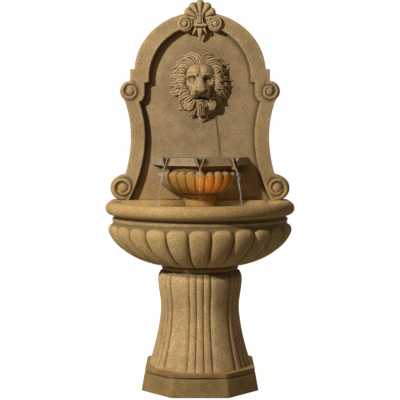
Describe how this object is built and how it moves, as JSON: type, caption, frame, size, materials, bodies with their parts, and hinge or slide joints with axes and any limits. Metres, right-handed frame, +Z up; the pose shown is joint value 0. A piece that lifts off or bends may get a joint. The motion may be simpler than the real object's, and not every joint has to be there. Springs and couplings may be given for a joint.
{
  "type": "floor fountain",
  "caption": "Floor fountain: a fluted pedestal, a half-round ribbed basin, and an arched back panel whose lion mask spouts into a small bowl, with a pump behind and a lamp below.",
  "frame": {"origin": "On the floor, under the middle of the overall width and depth", "axes": "+Z up, +X to the right as the front is seen, the front faces -Y, and the flat back lies in a plane of constant y"},
  "size_m": [0.628, 0.41, 1.2698],
  "materials": {
    "cast_stone": "sandstone-effect cast resin, speckled and matt, with a darker wash in the recesses",
    "carved_stone": "the same cast resin on the carved ornaments, with more of the dark wash",
    "cover_board": "moulded rear cover, matt",
    "zinc_steel": "zinc plated",
    "stainless": "stainless steel, satin",
    "brass": "bare brass",
    "black_rubber": "matt",
    "hose_black": "flexible hose, satin",
    "pump_black": "moulded pump body, fine texture",
    "pump_grey": "moulded pump chamber, fine texture",
    "impeller_white": "moulded",
    "magnet": "sintered magnet, sealed",
    "ceramic_shaft": "polished",
    "dial_grey": "moulded",
    "lamp_black": "black powder coat",
    "reflector": "bright",
    "emitter": "warm white emitters on a light board",
    "amber_glass": "amber tinted"
  },
  "bodies": {
    "fountain": {"pedestal": "cast_stone", "basin": "cast_stone", "back_panel": "cast_stone", "crest": "carved_stone", "lion_mask": "carved_stone", "upper_bowl": "cast_stone", "rear_cover": "cover_board", "cover_screws": "zinc_steel", "hatch_nuts": "brass", "locating_dowels": "stainless", "mask_bolts": "zinc_steel", "bowl_bolts": "zinc_steel", "spout_pipe": "brass", "spout_washer": "black_rubber", "spout_nut": "brass", "riser_hose": "hose_black", "hose_clamps": "stainless", "hose_clips": "pump_grey", "cord_grommet": "black_rubber", "pump_motor": "pump_black", "pump_feet": "black_rubber", "pump_chamber": "pump_grey", "chamber_gasket": "black_rubber", "rotor_shaft": "ceramic_shaft", "shaft_bushes": "black_rubber", "intake_grille": "pump_black", "lamp_bracket": "stainless", "bracket_screws": "stainless"},
    "rotor": {"rotor_magnet": "magnet", "impeller": "impeller_white"},
    "flow_control": {"flow_dial": "dial_grey"},
    "hatch": {"access_hatch": "cover_board", "hatch_screws": "zinc_steel"},
    "lamp_swivel": {"lamp_yoke": "stainless", "swivel_nut": "stainless"},
    "lamp_head": {"lamp_housing": "lamp_black", "lamp_reflector": "reflector", "lamp_emitter": "emitter", "lamp_lens": "amber_glass", "lens_ring": "lamp_black", "tilt_screws": "stainless"}
  },
  "joints": [
    {"name": "rotor_spin", "type": "hinge", "parent": "fountain", "child": "rotor", "pos_m": [0, 0.163, 0.524], "axis": [1, 0, 0], "continuous": true},
    {"name": "flow_dial_turn", "type": "hinge", "parent": "fountain", "child": "flow_control", "pos_m": [0.034, 0.163, 0.524], "axis": [1, 0, 0], "range_deg": [0, 90]},
    {"name": "hatch_pull", "type": "slide", "parent": "fountain", "child": "hatch", "axis": [0, 1, 0], "range_m": [0, 0.06]},
    {"name": "lamp_turn", "type": "hinge", "parent": "fountain", "child": "lamp_swivel", "pos_m": [0.02, 0.023, 0.508], "axis": [0, 0, 1], "range_deg": [-90, 90]},
    {"name": "lamp_tilt", "type": "hinge", "parent": "lamp_swivel", "child": "lamp_head", "pos_m": [0.02, 0.023, 0.55], "axis": [1, 0, 0], "range_deg": [-40, 40]}
  ]
}
